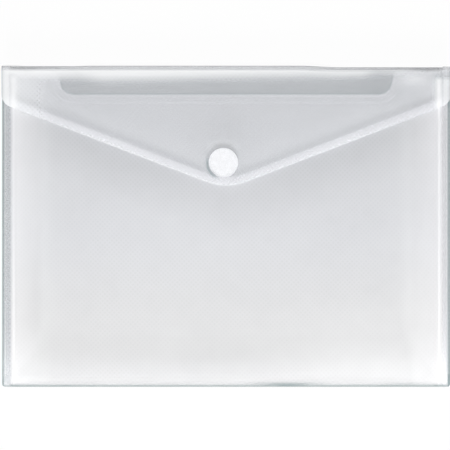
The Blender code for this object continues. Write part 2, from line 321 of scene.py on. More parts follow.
# Films, each as (opacity, tint, shade of its ridges)
SHEET_FILM = (0.31, FROST, 0.90)
BACK_FILM = (0.31, SHADED_BACK_FROST, 0.90)
FLAP_FILM = (0.19, BLUE_FROST, 0.80)
BAND_FILM = (0.30, FROST, 0.90)

# Frost: emboss, milky patches, fine grain, and what the marks do to the film's opacity
EMBOSS_PITCH = 2.46 * MM
EMBOSS_ALPHA = 0.01
MILKY_SCALE = 28.0
MILKY_ALPHA = 0.06
MILKY_ROUGH = 0.16
FROST_ROUGH = 0.30
GRAIN_SCALE = 2600.0
GRAIN = 0.25
CLEARED = 0.85
WHITE_ALPHA = 0.45
WHITE_SHADOW = 0.09
EDGE_AND_SHADE_ALPHA = 0.50
WHITE_SMOOTH = 0.8
FROST_BUMP = 0.15
BUMP_DEPTH = 0.05 * MM
WAVE_LENGTH = math.tau / 20

# Tape and adhesive
WEAVE_SHADE = 0.985
WEAVE_BUMP = 0.1
TAPE_ROUGH = 0.85
TAPE_SHEEN = 0.2
TAPE_WEAVE = 0.55 * MM
FIBRE_WEAVE = 0.2 * MM
PATCH_SCALE = 350.0
PATCH_ROUGH = (0.2, 0.15)
PATCH_ALPHA = (0.12, 0.05)

# Photograph's frame, in pixels of a square picture, and the scale at the front panel
PICTURE = 450
MIDDLE = (226.15, 226.4)
METRES_PER_PIXEL = 0.335 / 447.7
CAMERA_HEIGHT = 1.2
SENSOR = 36.0

# Studio
TABLE_HALF = 3.0
TABLE_DROP = 0.3 * MM
TABLE_ROUGH = 0.9
TABLE_GLOW = 0.97
AMBIENT = 0.25
KEY_PLACE = (0.02, -1.25, 0.95)
KEY_SIZE = 0.8
KEY_POWER = 39.3
FILM_LAYERS = 32

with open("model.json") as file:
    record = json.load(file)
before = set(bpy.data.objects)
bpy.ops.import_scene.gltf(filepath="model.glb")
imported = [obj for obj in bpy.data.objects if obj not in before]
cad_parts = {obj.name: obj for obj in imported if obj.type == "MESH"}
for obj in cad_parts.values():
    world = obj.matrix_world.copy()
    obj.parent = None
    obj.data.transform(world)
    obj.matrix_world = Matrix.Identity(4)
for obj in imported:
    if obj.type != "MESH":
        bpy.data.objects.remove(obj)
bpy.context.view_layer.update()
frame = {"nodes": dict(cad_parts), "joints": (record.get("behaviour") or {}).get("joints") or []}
nodes = frame["nodes"]
AXES = {joint["name"]: joint.get("pos_m") for joint in frame["joints"]}

# Places read from the frame
FRONT_LOW, FRONT_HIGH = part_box("front_panel")
BACK_LOW, BACK_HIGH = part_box("back_panel")
FLAP_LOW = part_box("flap_panel")[0]
COIN_LOW, COIN_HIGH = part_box("hook_coin")
COIN = (COIN_LOW + COIN_HIGH) / 2 - COIN_SHIFT
SIDE_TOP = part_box("right_gusset_rear_leaf")[1].y
SIDE_CREASE = AXES["right_rear_crease"][0]
BOTTOM_CREASE = AXES["bottom_rear_crease"][1]
FOLD_Y = AXES["flap_fold"][1]
FLAP_AXIS_Z = AXES["flap_fold"][2]
SPINE_AXIS_Z = AXES["spine_fold"][2]
FOLD_START = FOLD_Y - FLAP_RADIUS
EDGE_X = FRONT_HIGH.x
LIP_WIDTH = EDGE_X - SIDE_CREASE
FLAP_SEAM_Z = FLAP_AXIS_Z - FLAP_RADIUS - SEAM_DROP
FLAP_RUN = FOLD_Y + (math.pi / 2 - 1) * FLAP_RADIUS + FLAP_AXIS_Z - FLAP_RADIUS - FLAP_SEAM_Z


def smooth(low, high, value):
    """0 below low, 1 above high and a smooth ramp between them."""
    t = np.clip((value - low) / (high - low), 0.0, 1.0)
    return t * t * (3 - 2 * t)


def fade(low, high, value):
    """1 below low and 0 above high."""
    return 1 - smooth(low, high, value)


def bump(distance, width):
    """A soft bump of height 1 and the given half-width."""
    return np.exp(-((distance / width) ** 2))


def ridge(value, strength, place, width):
    """A soft bump of the given strength at a place."""
    return strength * bump(value - place, width)


def from_coin(flat):
    """Each point's distance from the middle of the fastener."""
    return np.hypot(flat[:, 0] - COIN.x, flat[:, 1] - COIN.y)


def beside_coin(flat, strength, heading, radius, width, spread):
    """An arc round the fastener, which fades to either side of its heading."""
    turn = np.arctan2(flat[:, 1] - COIN.y, flat[:, 0] - COIN.x) - math.radians(heading)
    away = np.abs((turn + math.pi) % math.tau - math.pi)
    spread = math.radians(spread)
    return ridge(from_coin(flat), strength, radius, width) * fade(ARC_CORE * spread, spread, away)


def soft_spot(flat, strength, x, y, wide, high):
    """A soft oval spot on the sheet."""
    return strength * bump(np.hypot((flat[:, 0] - x) / wide, (flat[:, 1] - y) / high), 1.0)


# Meshes


def sides_of(loop):
    """Each point of a closed loop with the next one."""
    return zip(loop, loop[1:] + loop[:1])


def open_sides(faces):
    """The sides that only one face has, in the faces' sense."""
    sides = {}
    for face in faces:
        for a, b in sides_of(face):
            if (b, a) in sides:
                del sides[(b, a)]
            else:
                sides[(a, b)] = True
    return list(sides)


def outline_of(node):
    """A CAD sheet's outline, as (x, y) points in order, read from its upper face."""
    mesh = nodes[node].data
    mesh.calc_loop_triangles()
    upper = [triangle for triangle in mesh.loop_triangles if triangle.normal.z >= 0.9]
    corners = [tuple(tuple(round(c, 6) for c in mesh.vertices[i].co[:2]) for i in t.vertices) for t in upper]
    following = dict(open_sides(corners))
    start = next(iter(following))
    loop = [start]
    while following[loop[-1]] != start:
        loop.append(following[loop[-1]])
    return loop


def lines(low, high, step, close=()):
    """Grid lines from low to high, with finer ones added."""
    count = max(2, round((high - low) / step))
    even = np.linspace(low, high, count + 1)
    return np.unique(np.round(np.concatenate([even, [c for c in close if low < c < high]]), 6))


def inside(points, outline):
    """Which points lie in a closed outline."""
    x, y = points[:, 0], points[:, 1]
    result = np.zeros(len(points), bool)
    for (ax, ay), (bx, by) in sides_of(outline):
        crosses = (ay > y) != (by > y)
        with np.errstate(divide="ignore", invalid="ignore"):
            at = ax + (y - ay) * (bx - ax) / (by - ay)
        result ^= crosses & (x < at)
    return result


def from_edge(points, outline):
    """Each point's distance to an outline."""
    best = np.full(len(points), np.inf)
    for a, b in sides_of(outline):
        a = np.array(a)
        run = np.array(b) - a
        t = np.clip(((points - a) @ run) / max(run @ run, 1e-18), 0, 1)
        best = np.minimum(best, np.linalg.norm(points - a - t[:, None] * run, axis=1))
    return best


def dense(outline, step, fold):
    """An outline with extra points, so that no stretch is longer than step, and finer beyond the fold."""
    points = []
    for a, b in sides_of(outline):
        upright = min(a[1], b[1]) >= fold and abs(a[0] - b[0]) < step
        longest = FINE_SHARE * step if upright else step
        count = max(1, math.ceil(math.dist(a, b) / longest))
        points += [tuple(p + (q - p) * k / count for p, q in zip(a, b)) for k in range(count)]
    return points


def flat_net(outline, xs, ys, step, rings=(), fold=math.inf):
    """Points and triangles that fill an outline, on grid lines and rings round the fastener."""
    rim = dense(outline, step, fold)
    grid = np.array([(x, y) for y in ys for x in xs])
    if len(rings):
        grid = grid[from_coin(grid) > rings[-1] + RING_SHARE * step]
        turns = np.linspace(0, math.tau, RING_POINTS, endpoint=False)
        round_points = [(COIN.x + r * math.cos(a), COIN.y + r * math.sin(a)) for r in rings for a in turns]
        grid = np.vstack([grid, round_points])
    grid = grid[inside(grid, outline)]
    grid = grid[from_edge(grid, outline) > EDGE_SHARE * step]
    points = [Vector(p) for p in rim] + [Vector(p) for p in grid]
    found = geometry.delaunay_2d_cdt(points, [], [list(range(len(rim)))], 1, 1e-7)
    return np.array([tuple(p) for p in found[0]]), [tuple(f) for f in found[2]]


def solid_sheet(name, flat, faces, middle, normal, thickness, **marks):
    """A closed sheet: a net of middle points, moved half a thickness to either side.

    marks are what the finish reads at each point: white, which is whitened film and painted light; rim,
    which is dark cut edges and painted shade and shadows; clear; faint; and painted warm light on the
    front's lower part.
    """
    count = len(middle)
    upper = middle + normal * thickness / 2
    lower = middle - normal * thickness / 2
    quads = [(a, a + count, b + count, b) for a, b in open_sides(faces)]
    under = [tuple(i + count for i in reversed(face)) for face in faces]
    mesh = bpy.data.meshes.new(name)
    mesh.from_pydata(np.vstack([upper, lower]).tolist(), [], list(faces) + under + quads)
    marks["flat"] = np.column_stack([flat, np.zeros(count)])
    for mark, values in marks.items():
        store(mesh, mark, np.concatenate([values, values]))
    return new_piece(name, mesh, SHEET_SHARP)


def new_piece(name, mesh, sharp):
    """An object in the scene, smooth apart from its sharp edges."""
    mesh.shade_smooth()
    mesh.set_sharp_from_angle(angle=sharp)
    piece = bpy.data.objects.new(name, mesh)
    bpy.context.scene.collection.objects.link(piece)
    return piece


def store(mesh, name, values):
    """Keeps one value, or one place, for each vertex."""
    kind, key = ("FLOAT_VECTOR", "vector") if values.ndim == 2 else ("FLOAT", "value")
    mesh.attributes.new(name, kind, "POINT").data.foreach_set(key, values.astype(np.float32).ravel())


def slopes(height, points):
    """The upward normals of a height field."""
    step = SLOPE_STEP
    dx = (height(points + (step, 0)) - height(points - (step, 0))) / (2 * step)
    dy = (height(points + (0, step)) - height(points - (0, step))) / (2 * step)
    normal = np.column_stack([-dx, -dy, np.ones(len(points))])
    return normal / np.linalg.norm(normal, axis=1)[:, None]


# Materials


def new_material(name):
    material = bpy.data.materials.new(name)
    material.use_nodes = True
    tree = material.node_tree
    return material, tree, tree.nodes["Principled BSDF"]


def math_node(tree, operation, *values):
    node = tree.nodes.new("ShaderNodeMath")
    node.operation = operation
    for socket, value in zip(node.inputs, values):
        if isinstance(value, (int, float)):
            socket.default_value = value
        else:
            tree.links.new(value, socket)
    return node.outputs[0]


def scale_add(tree, value, factor, offset):
    return math_node(tree, "MULTIPLY_ADD", value, factor, offset)


def mix_colour(tree, factor, a, b):
    node = tree.nodes.new("ShaderNodeMix")
    node.data_type = "RGBA"
    tree.links.new(factor, node.inputs["Factor"])
    sockets = [socket for socket in node.inputs if socket.type == "RGBA"]
    for socket, value in zip(sockets, (a, b)):
        if isinstance(value, tuple):
            socket.default_value = (*value, 1.0)
        else:
            tree.links.new(value, socket)
    return next(socket for socket in node.outputs if socket.type == "RGBA")


def shaded(colour, share):
    return tuple(share * c for c in colour)


def attribute(tree, name, output="Fac"):
    node = tree.nodes.new("ShaderNodeAttribute")
    node.attribute_name = name
    return node.outputs[output]


def noise(tree, place, scale, detail=2.0):
    node = tree.nodes.new("ShaderNodeTexNoise")
    node.inputs["Scale"].default_value = scale
    node.inputs["Detail"].default_value = detail
    tree.links.new(place, node.inputs["Vector"])
    return node.outputs["Fac"]


def crossed_waves(tree, place, degrees, pitch):
    """Two sets of fine ridges that cross at a right angle."""
    heights = []
    for angle in (degrees, degrees - 90):
        turn = tree.nodes.new("ShaderNodeMapping")
        turn.inputs["Rotation"].default_value = (0.0, 0.0, math.radians(angle))
        tree.links.new(place, turn.inputs["Vector"])
        wave = tree.nodes.new("ShaderNodeTexWave")
        wave.inputs["Scale"].default_value = WAVE_LENGTH / pitch
        tree.links.new(turn.outputs["Vector"], wave.inputs["Vector"])
        heights.append(wave.outputs["Fac"])
    return math_node(tree, "MULTIPLY", *heights)


def raise_relief(tree, shader, height, strength):
    node = tree.nodes.new("ShaderNodeBump")
    node.inputs["Strength"].default_value = strength
    node.inputs["Distance"].default_value = BUMP_DEPTH
    tree.links.new(height, node.inputs["Height"])
    tree.links.new(node.outputs["Normal"], shader.inputs["Normal"])


def frost_alpha(tree, opacity, emboss, milky, white, rim):
    """How opaque the film is.

    Frost blurs what lies behind it, so film marked faint fades where it is seen through another sheet.
    """
    path = tree.nodes.new("ShaderNodeLightPath")
    shadow = path.outputs["Is Shadow Ray"]
    seen = math_node(tree, "SUBTRACT", 1.0, shadow)
    behind = math_node(tree, "GREATER_THAN", path.outputs["Transparent Depth"], 1.5)
    behind = math_node(tree, "MULTIPLY", behind, seen)
    hidden = scale_add(tree, attribute(tree, "faint"), behind, attribute(tree, "clear"))
    frost_left = scale_add(tree, hidden, -CLEARED, 1.0)
    alpha = scale_add(tree, milky, MILKY_ALPHA, opacity - MILKY_ALPHA / 2)
    alpha = scale_add(tree, emboss, EMBOSS_ALPHA, alpha)
    alpha = math_node(tree, "MULTIPLY", alpha, frost_left)
    held_back = scale_add(tree, shadow, WHITE_SHADOW - WHITE_ALPHA, WHITE_ALPHA)
    alpha = scale_add(tree, white, held_back, alpha)
    return scale_add(tree, rim, EDGE_AND_SHADE_ALPHA, alpha)


def frosted(name, opacity, tint, ridge_shade):
    """Frosted polypropylene: a diagonal emboss, milky patches, white creases with painted light, dark cut
    edges with painted shade, and painted warm light.
    """
    material, tree, shader = new_material(name)
    place = attribute(tree, "flat", "Vector")
    # The white mark is whitened film, and in places painted highlights and light.
    white = attribute(tree, "white")
    # The rim mark is dark cut edges, and in places painted shade and shadows.
    rim = attribute(tree, "rim")
    # Painted warm light on the front's lower part, mixed in below
    aged = attribute(tree, "aged")
    emboss = crossed_waves(tree, place, 45, EMBOSS_PITCH)
    milky = noise(tree, place, MILKY_SCALE)
    hollow = mix_colour(tree, aged, tint, WARM_LIT_FROST)
    crest = mix_colour(tree, aged, shaded(tint, ridge_shade), shaded(WARM_LIT_FROST, ridge_shade))
    colour = mix_colour(tree, emboss, hollow, crest)
    colour = mix_colour(tree, white, colour, WHITENED_AND_HIGHLIGHT)
    colour = mix_colour(tree, rim, colour, DARK_EDGE_AND_SHADE)
    tree.links.new(colour, shader.inputs["Base Color"])
    tree.links.new(frost_alpha(tree, opacity, emboss, milky, white, rim), shader.inputs["Alpha"])
    rough = scale_add(tree, milky, MILKY_ROUGH, FROST_ROUGH)
    tree.links.new(rough, shader.inputs["Roughness"])
    relief = scale_add(tree, noise(tree, place, GRAIN_SCALE, 1.0), GRAIN, emboss)
    plain = scale_add(tree, white, -WHITE_SMOOTH, 1.0)
    raise_relief(tree, shader, math_node(tree, "MULTIPLY", relief, plain), FROST_BUMP)
    return material


def woven(name, colour, pitch):
    """White tape: a fine weave, with painted shade that greys its hollows slightly."""
    material, tree, shader = new_material(name)
    place = tree.nodes.new("ShaderNodeTexCoord").outputs["Object"]
    weave = crossed_waves(tree, place, 90, pitch)
    tint = mix_colour(tree, weave, shaded(colour, WEAVE_SHADE), colour)
    tree.links.new(tint, shader.inputs["Base Color"])
    shader.inputs["Roughness"].default_value = TAPE_ROUGH
    shader.inputs["Sheen Weight"].default_value = TAPE_SHEEN
    raise_relief(tree, shader, weave, WEAVE_BUMP)
    return material


def clear_adhesive():
    """Clear pressure-sensitive adhesive with a few dull patches."""
    material, tree, shader = new_material("clear_adhesive")
    place = tree.nodes.new("ShaderNodeTexCoord").outputs["Object"]
    patches = noise(tree, place, PATCH_SCALE)
    shader.inputs["Base Color"].default_value = ADHESIVE
    tree.links.new(scale_add(tree, patches, *PATCH_ROUGH), shader.inputs["Roughness"])
    tree.links.new(scale_add(tree, patches, *PATCH_ALPHA), shader.inputs["Alpha"])
    return material


SHEET_FINISH = frosted("frosted_sheet", *SHEET_FILM)
BACK_FINISH = frosted("frosted_back", *BACK_FILM)
FLAP_FINISH = frosted("frosted_flap", *FLAP_FILM)
BAND_FINISH = frosted("frosted_band", *BAND_FILM)
TAPE_FINISH = woven("white_tape", TAPE, TAPE_WEAVE)
FIBRE_FINISH = woven("white_fibre", FIBRE_WHITE, FIBRE_WEAVE)
ADHESIVE_FINISH = clear_adhesive()


def dress(piece, material):
    piece.data.materials.append(material)


# Panels


def weld_grid():
    """Fine grid lines across both weld lines and along both side edges."""
    fine = np.linspace(-2 * WELD_HALF, 2 * WELD_HALF, WELD_LINES)
    right = np.concatenate([SIDE_CREASE + fine, [EDGE_X - RIM, EDGE_X - RIM / 2]])
    return np.concatenate([right, -right])


def outside_weld(flat):
    """How far points lie outside the weld lines."""
    x = flat[:, 0]
    return np.abs(x) - SIDE_CREASE + np.where(x < 0, *WELD_INSET)


def welded(flat):
    """How white the weld lines make the sheet."""
    return bump(outside_weld(flat), WELD_HALF)


def in_margin(flat):
    """1 in the margins outside the weld lines."""
    return smooth(0.0, MARGIN_FADE, outside_weld(flat) - WELD_HALF)


def rise(distance, reach):
    """0 where the sheet is held down, rising to 1 at the given reach and steepest at the start."""
    t = np.clip(distance / reach, 0.0, 1.0)
    return t * (2 - t)


def below_flap(flat):
    """How far points lie below the flap's edge."""
    return FLAP_LOW.y - SWELL_INSET + np.abs(flat[:, 0]) * FLAP_SLOPE - flat[:, 1]


def ripple(value, length, phase):
    return np.sin(value / length + phase)


def front_height(flat):
    """The front panel's height: it swells below the flap's edge and lies flat under the flap."""
    x, y = flat.T
    from_side = SIDE_CREASE - np.abs(x)
    from_bottom = y - BOTTOM_CREASE
    held = rise(from_side, SWELL_FROM_SIDE) * rise(from_bottom, SWELL_FROM_BOTTOM)
    swell = (SWELL - ridge(x, *SWELL_DIP)) * held * rise(below_flap(flat), SWELL_FROM_FLAP)
    hem = smooth(0.0, RIPPLE_HEM, from_side) * smooth(0.0, RIPPLE_HEM, from_bottom)
    seat = 1 - bump(from_coin(flat), RIPPLE_COIN)
    waves = RIPPLE * ripple(x, *RIPPLE_X) * ripple(y, *RIPPLE_Y) * hem * seat
    return FRONT_LOW.z + SHEET / 2 + swell + waves - WELD_DEPTH * welded(flat)


def along_notch(flat):
    """1 by the thumb notch and 0 away from it."""
    x, y = flat.T
    beside = fade(*NOTCH_SIDE, np.abs(x))
    return (y > NOTCH_FLOOR - NOTCH_REACH) * beside * fade(*NOTCH_TOP, y)


def inside_crease(flat):
    """How far points lie inside the side creases."""
    return np.maximum(SIDE_CREASE - np.abs(flat[:, 0]), 0.0)


def front_stretch(flat):
    """White of the stretched film inside the side creases and over the pleats' tips."""
    x, y = flat.T
    inner = inside_crease(flat)
    lift = ridge(inner, *LIFT_WHITE) * smooth(*LIFT_UP, y) * (x < 0)
    tip_right = 1 - TIP_RIGHT_LOSS * smooth(*TIP_RIGHT_UP, y)
    tip = np.where(x < 0, smooth(*TIP_LEFT_UP, y), tip_right) * ridge(inner, *TIP_WHITE)
    return (ridge(inner, *CREASE_WHITE) + lift + tip) * (inner > 0)


def front_white(flat, to_edge):
    x, y = flat.T
    weld = np.where(x < 0, *FRONT_WELD) * welded(flat)
    hem = (1 + HEM_GAIN * smooth(*HEM_ACROSS, x)) * ridge(to_edge, *HEM_WHITE)
    hem = (hem + ridge(to_edge, *BAND_WHITE)) * along_notch(flat)
    # Painted light, brighter towards the lower right
    lower_right_light = LOWER_RIGHT_LIGHT * smooth(*LOWER_RIGHT_LIGHT_ACROSS, x) * fade(*LOWER_RIGHT_LIGHT_UP, y)
    lip = ridge(y - FRONT_LOW.y, *LIP_WHITE) * fade(*LIP_ACROSS, x)
    # Painted light: a highlight, soft brighter patches, and an arc above the coin that lightens its shadow
    light_spots = sum(soft_spot(flat, *spot) for spot in FRONT_LIGHT_SPOTS)
    white = np.maximum.reduce([weld, hem, front_stretch(flat), lower_right_light])
    return white + light_spots + beside_coin(flat, *FRONT_COIN_LIGHT) + lip


# The front panel's dark: cut edges, its left margin, painted shadow along the notch and bottom edges, and
# painted shade by the coin and below the flap.
def front_edges_and_shade(flat, to_edge):
    x, y = flat.T
    side = EDGE_X - np.abs(x)
    from_bottom = y - FRONT_LOW.y
    right_rim = np.clip(RIGHT_RIM_START - side / RIGHT_RIM, 0.0, 1.0)
    # Painted shadow along the bottom edge
    bottom_shadow = ridge(x, *BOTTOM_SHADOW) + ridge(x, *BOTTOM_SHADOW_RIGHT)
    # Painted shadow along the notch's edge
    notch_shadow = NOTCH_EDGE_SHADOW * fade(*NOTCH_EDGE_SHADOW_FADE, to_edge) + ridge(to_edge, *NOTCH_SHADOW_BAND)
    under = below_flap(flat)
    shade = ridge(under, *FLAP_SHADE) * smooth(*FLAP_SHADE_START, under)
    shade = shade * smooth(*FLAP_SHADE_ACROSS, np.abs(x)) * (inside_crease(flat) > LEAF_WIDTH)
    return np.maximum.reduce([
        np.where(x < 0, fade(0.0, LEFT_RIM, side), right_rim),
        BOTTOM_RIM * fade(*BOTTOM_RIM_UP, from_bottom),
        bottom_shadow * fade(*BOTTOM_SHADOW_UP, from_bottom),
        LEFT_MARGIN_RIM * in_margin(flat) * (x < 0),
        notch_shadow * along_notch(flat),
        beside_coin(flat, *FRONT_SHADE),
        soft_spot(flat, *FRONT_DARK_SPOT),
        shade,
    ])


def make_front():
    outline = outline_of("front_panel")
    close_x = np.concatenate([weld_grid(), NOTCH_END_LINES, -NOTCH_END_LINES])
    close_y = np.concatenate([FRONT_LOW.y + BOTTOM_LINES, NOTCH_FLOOR - NOTCH_LINES])
    xs = lines(FRONT_LOW.x, FRONT_HIGH.x, GRID, close_x)
    ys = lines(FRONT_LOW.y, FRONT_HIGH.y, GRID, close_y)
    flat, faces = flat_net(outline, xs, ys, GRID)
    middle = np.column_stack([flat, front_height(flat)])
    to_edge = from_edge(flat, outline)
    margin = in_margin(flat)
    marks = {
        "white": front_white(flat, to_edge),
        "rim": front_edges_and_shade(flat, to_edge),
        "clear": FRONT_CLEAR * margin,
        # Painted warm light, strongest on the lower part and gone by the middle
        "aged": fade(*WARM_LIGHT_UP, flat[:, 1]) * (1 - margin),
    }
    normal = slopes(front_height, flat)
    piece = solid_sheet("front_sheet", flat, faces, middle, normal, SHEET, **marks)
    dress(piece, SHEET_FINISH)
    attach(piece, "front")
    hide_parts("front_panel")


def back_edges_and_shade(flat):
    """How dark the back panel is: at its cut edges, and with painted shade and shadows in the mouth of the
    pocket.
    """
    x, y = flat.T
    edges = np.minimum(EDGE_X - np.abs(x), y - BACK_LOW.y)
    # Painted shade in the pocket's mouth, with painted shadows of the notch's ends and lower edge
    ends = ridge(np.abs(x), *MOUTH_END_SHADOWS)
    low_mouth_shadow = (LOW_MOUTH_SHADOW + LOW_MOUTH_SHADOW_RIGHT * x / EDGE_X) * fade(*LOW_MOUTH_SHADOW_UP, y)
    mouth_shade = (MOUTH_SHADE + ends + low_mouth_shadow) * smooth(*MOUTH_SHADE_UP, y)
    return np.maximum(BACK_RIM * fade(0.0, RIM, edges), mouth_shade)


def make_back():
    outline = [(x, min(y, FOLD_Y - SPINE_RADIUS)) for x, y in outline_of("back_panel")]
    xs = lines(BACK_LOW.x, BACK_HIGH.x, 2 * GRID, weld_grid())
    ys = lines(BACK_LOW.y, BACK_HIGH.y, 2 * GRID)
    flat, faces = flat_net(outline, xs, ys, 2 * GRID)
    weld = welded(flat)
    middle = np.column_stack([flat, SHEET / 2 + WELD_DEPTH * weld])
    marks = {"white": BACK_WELD * weld, "rim": back_edges_and_shade(flat), "clear": BACK_CLEAR * in_margin(flat)}
    piece = solid_sheet("back_sheet", flat, faces, middle, UP, SHEET, **marks)
    dress(piece, BACK_FINISH)
    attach(piece, "back")
    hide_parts("back_panel")


# Flap and spine


def folded(run, start, first, corner, second, radius):
    """Places along a sheet that goes straight, round a fold and straight again, and its inner normals.

    run is the distance from the start, first and second are the directions before and after the fold.
    """
    first, second = np.array(first, float), np.array(second, float)
    corner, start = np.array(corner, float), np.array(start, float)
    straight = np.dot(corner - start, first) - radius
    arc = radius * math.pi / 2
    centre = corner - radius * first + radius * second
    angle = np.clip((run - straight) / radius, 0.0, math.pi / 2)[:, None]
    before = np.minimum(run - straight, 0.0)[:, None]
    after = np.maximum(run - straight - arc, 0.0)[:, None]
    place = centre - radius * np.cos(angle) * second + radius * np.sin(angle) * first
    place = place + before * first + after * second
    normal = np.cos(angle) * second - np.sin(angle) * first
    return place, normal


def fold_lean(x):
    """How far the spine leans in at the fold: most on the right, and a little on the left."""
    on_left = smooth(*LEAN_LEFT_FROM, -x) * fade(*LEAN_LEFT_TO, -x)
    return LEAN_RIGHT * smooth(*LEAN_RIGHT_FROM, x) + LEAN_LEFT * on_left


def settle_fold(piece):
    """Moves the fold in as far as the spine leans."""
    places = np.array([vertex.co for vertex in piece.data.vertices])
    x, y, z = places.T
    places[:, 1] -= fold_lean(x) * z / FLAP_AXIS_Z * smooth(*LEAN_UP, y - FOLD_Y)
    piece.data.vertices.foreach_set("co", places.ravel())
    piece.data.update()


def flap_outline():
    """The flap's outline laid flat, with its root carried over the fold and down to the seam."""
    outline = outline_of("flap_panel")
    root = max(y for _, y in outline)
    laid = []
    for x, y in outline:
        if y < root - 1e-5:
            laid.append((x, y))
        else:
            ends = [(x, FOLD_START), (x, FLAP_RUN)]
            laid += ends if x > 0 else ends[::-1]
    return laid


def flap_relief(flat, outline):
    """How far the flap drops at its free edge and round the fastener."""
    free = smooth(0.0, DROOP_START, FOLD_START - flat[:, 1])
    edge = DROOP * fade(0.0, DROOP_WIDTH, from_edge(flat, outline)) * free
    return edge + DIMPLE * fade(*DIMPLE_REACH, from_coin(flat))


def flap_place(flat, outline):
    """The flap's mid-surface and upper normals, from the top of the spine over the fold to the tip."""
    start = (0.0, FOLD_Y, FLAP_SEAM_Z)
    corner = (0.0, FOLD_Y, FLAP_AXIS_Z)
    place, inner = folded(FLAP_RUN - flat[:, 1], start, (0, 0, 1), corner, (0, -1, 0), FLAP_RADIUS)
    place[:, 0] = flat[:, 0]
    place[:, 2] -= flap_relief(flat, outline)
    return place, -inner


def past_fold(flat):
    """How far points lie beyond the fold, which follows the spine's lean."""
    return flat[:, 1] - FOLD_Y - fold_lean(flat[:, 0])


def fold_white(flat):
    """White band beside the fold, which reaches further down on the left."""
    x, y = flat.T
    tilt = FOLD_TILT * x * fade(*FOLD_TILT_LEFT, -x) + FOLD_STEP_RIGHT * smooth(*FOLD_STEP_ACROSS, x)
    return smooth(*FOLD_WHITE, y - FOLD_Y - tilt) * (1 - FOLD_LOSS * smooth(*FOLD_LOSS_ACROSS, x))


def corner_white(flat):
    """White of the flap's shoulders, where it crosses the side seams."""
    x, y = flat.T
    below_fold = smooth(*SEAM_BELOW_FOLD, FOLD_Y - y)
    seam = bump(np.abs(x) - SIDE_CREASE + SEAM_INSET, SEAM_WIDTH) * below_fold
    seam = np.where(x < 0, *SEAM_WHITE) * seam
    outer = smooth(*OUTER_ACROSS, np.abs(x)) * np.where(x < 0, 1.0, below_fold)
    outer = np.where(x < 0, *OUTER_WHITE) * outer
    return CORNER_WHITE * smooth(*CORNER_ACROSS, -x) + np.maximum(seam, outer)


def flap_white(flat, outline):
    """How white the flap is. The white ends at the fold."""
    x, y = flat.T
    edge = ridge(from_edge(flat, outline), *EDGE_WHITE) * (y < FOLD_Y - EDGE_TO_FOLD)
    edge = edge * fade(*EDGE_ACROSS, np.abs(x))
    # Painted highlight by the right corner, and painted light above the coin
    light_spots = np.maximum(soft_spot(flat, *FLAP_HIGHLIGHT), beside_coin(flat, *FLAP_COIN_LIGHT))
    white = np.maximum.reduce([edge, fold_white(flat), corner_white(flat), light_spots])
    end_low = FOLD_WHITE_END[0] - FOLD_END_RIGHT * smooth(*FOLD_END_ACROSS, x)
    return white * fade(end_low, FOLD_WHITE_END[1], past_fold(flat))


# The flap's dark: cut sides, painted shade along the fold, painted shadow and shade by the coin, and a dark
# spot at the right corner.
def flap_edges_and_shade(flat):
    x = flat[:, 0]
    # Painted shade along the fold, darker on the right
    fold_shade = FOLD_SHADE * (1 + x / EDGE_X) * smooth(*FOLD_SHADE_UP, past_fold(flat))
    return np.maximum.reduce([
        FLAP_SIDE_RIM * fade(0.0, RIM, EDGE_X - np.abs(x)),
        fold_shade,
        # Painted shadow and shade beside the coin
        beside_coin(flat, *COIN_SHADOW_CRESCENT),
        beside_coin(flat, *FLAP_COIN_SHADE),
        soft_spot(flat, *FLAP_DARK_SPOT),
    ])


def flap_clear(flat):
    """How clear the flap is: over the coin, which is stuck to it, and beyond the fold."""
    window = fade(*WINDOW, from_coin(flat))
    return np.maximum(window, FOLD_CLEAR * smooth(*FOLD_WHITE_END, past_fold(flat)))


def make_flap():
    outline = flap_outline()
    xs = lines(-EDGE_X, EDGE_X, GRID, weld_grid())
    ys = lines(FLAP_LOW.y, FLAP_RUN, GRID, np.linspace(FOLD_START, FLAP_RUN, 2 * FOLD_STEPS))
    flat, faces = flat_net(outline, xs, ys, GRID, COIN_RINGS, FOLD_START)
    middle, normal = flap_place(flat, outline)
    marks = {"white": flap_white(flat, outline), "rim": flap_edges_and_shade(flat), "clear": flap_clear(flat)}
    piece = solid_sheet("flap_sheet", flat, faces, middle, normal, SHEET, **marks)
    settle_fold(piece)
    dress(piece, FLAP_FINISH)
    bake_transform(piece)
    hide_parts("flap_panel")


def band_net(node):
    """The net of an edge band, and the band's lower corner."""
    low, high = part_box(node)
    flat, faces = flat_net(outline_of(node), lines(low.x, high.x, GRID), lines(low.y, high.y, GRID), GRID)
    return flat, faces, low


def make_flap_band():
    flat, faces, low = band_net("flap_edge_band")
    outline = flap_outline()
    thickness = FLAP_LOW.z - SEAT - low.z
    middle = np.column_stack([flat, low.z + thickness / 2 - flap_relief(flat, outline)])
    along = np.abs(flat[:, 0])
    white = FLAP_BAND_WHITE * fade(*FLAP_BAND_ACROSS, along) + ridge(along, *FLAP_BAND_MIDDLE)
    white = white * fade(*FLAP_BAND_FADE, from_edge(flat, outline))
    piece = solid_sheet("flap_band", flat, faces, middle, UP, thickness, white=white)
    dress(piece, BAND_FINISH)
    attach(piece, "flap")
    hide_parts("flap_edge_band")


def make_notch_band():
    flat, faces, low = band_net("notch_edge_band")
    thickness = FRONT_LOW.z - SEAT - low.z
    middle = np.column_stack([flat, front_height(flat) - SHEET / 2 - SEAT - thickness / 2])
    to_edge = from_edge(flat, outline_of("front_panel"))
    white = NOTCH_BAND_WHITE + NOTCH_BAND_EDGE * smooth(*NOTCH_BAND_FADE, to_edge)
    white = white + NOTCH_BAND_ENDS * smooth(*NOTCH_BAND_ACROSS, np.abs(flat[:, 0]))
    normal = slopes(front_height, flat)
    piece = solid_sheet("notch_band", flat, faces, middle, normal, thickness, white=white)
    dress(piece, BAND_FINISH)
    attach(piece, "front")
    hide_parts("notch_edge_band")


